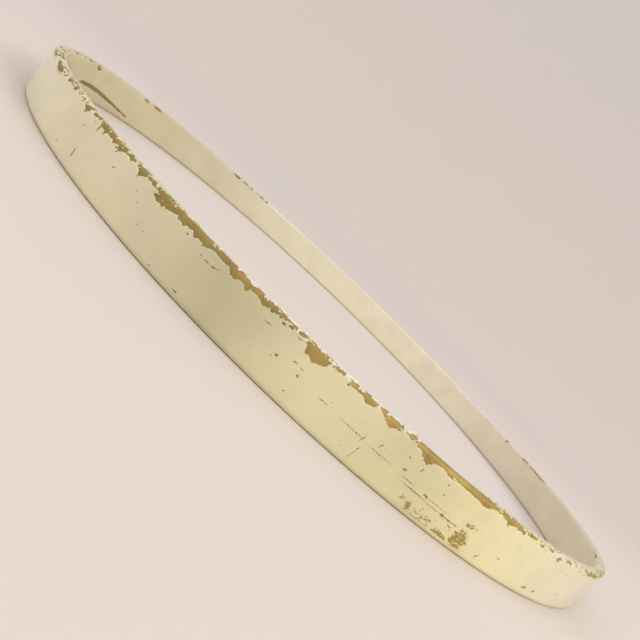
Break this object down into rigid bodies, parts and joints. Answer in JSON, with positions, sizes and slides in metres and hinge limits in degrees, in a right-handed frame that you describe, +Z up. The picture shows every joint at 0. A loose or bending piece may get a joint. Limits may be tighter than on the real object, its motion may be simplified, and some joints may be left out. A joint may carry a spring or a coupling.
{
  "type": "bangle bracelet",
  "caption": "Closed round bangle: a thin brass strip bent into a flat-sided hoop, brazed shut and coated all over with glossy cream enamel.",
  "frame": {"origin": "on the hoop's axis, in the plane of the lower edge that it rests on", "axes": "+Z up along the hoop's axis; the hoop lies flat, and the front of the view is its -Y side"},
  "size_m": [0.0654, 0.0654, 0.0037],
  "materials": {
    "brass": "smooth, dulled by wear",
    "braze": "satin",
    "enamel": "glossy cream enamel"
  },
  "bodies": {
    "root": {"brass_band": "brass", "brazed_seam": "braze", "outer_enamel": "enamel", "inner_enamel": "enamel", "upper_rim_enamel": "enamel", "lower_rim_enamel": "enamel"}
  },
  "joints": []
}
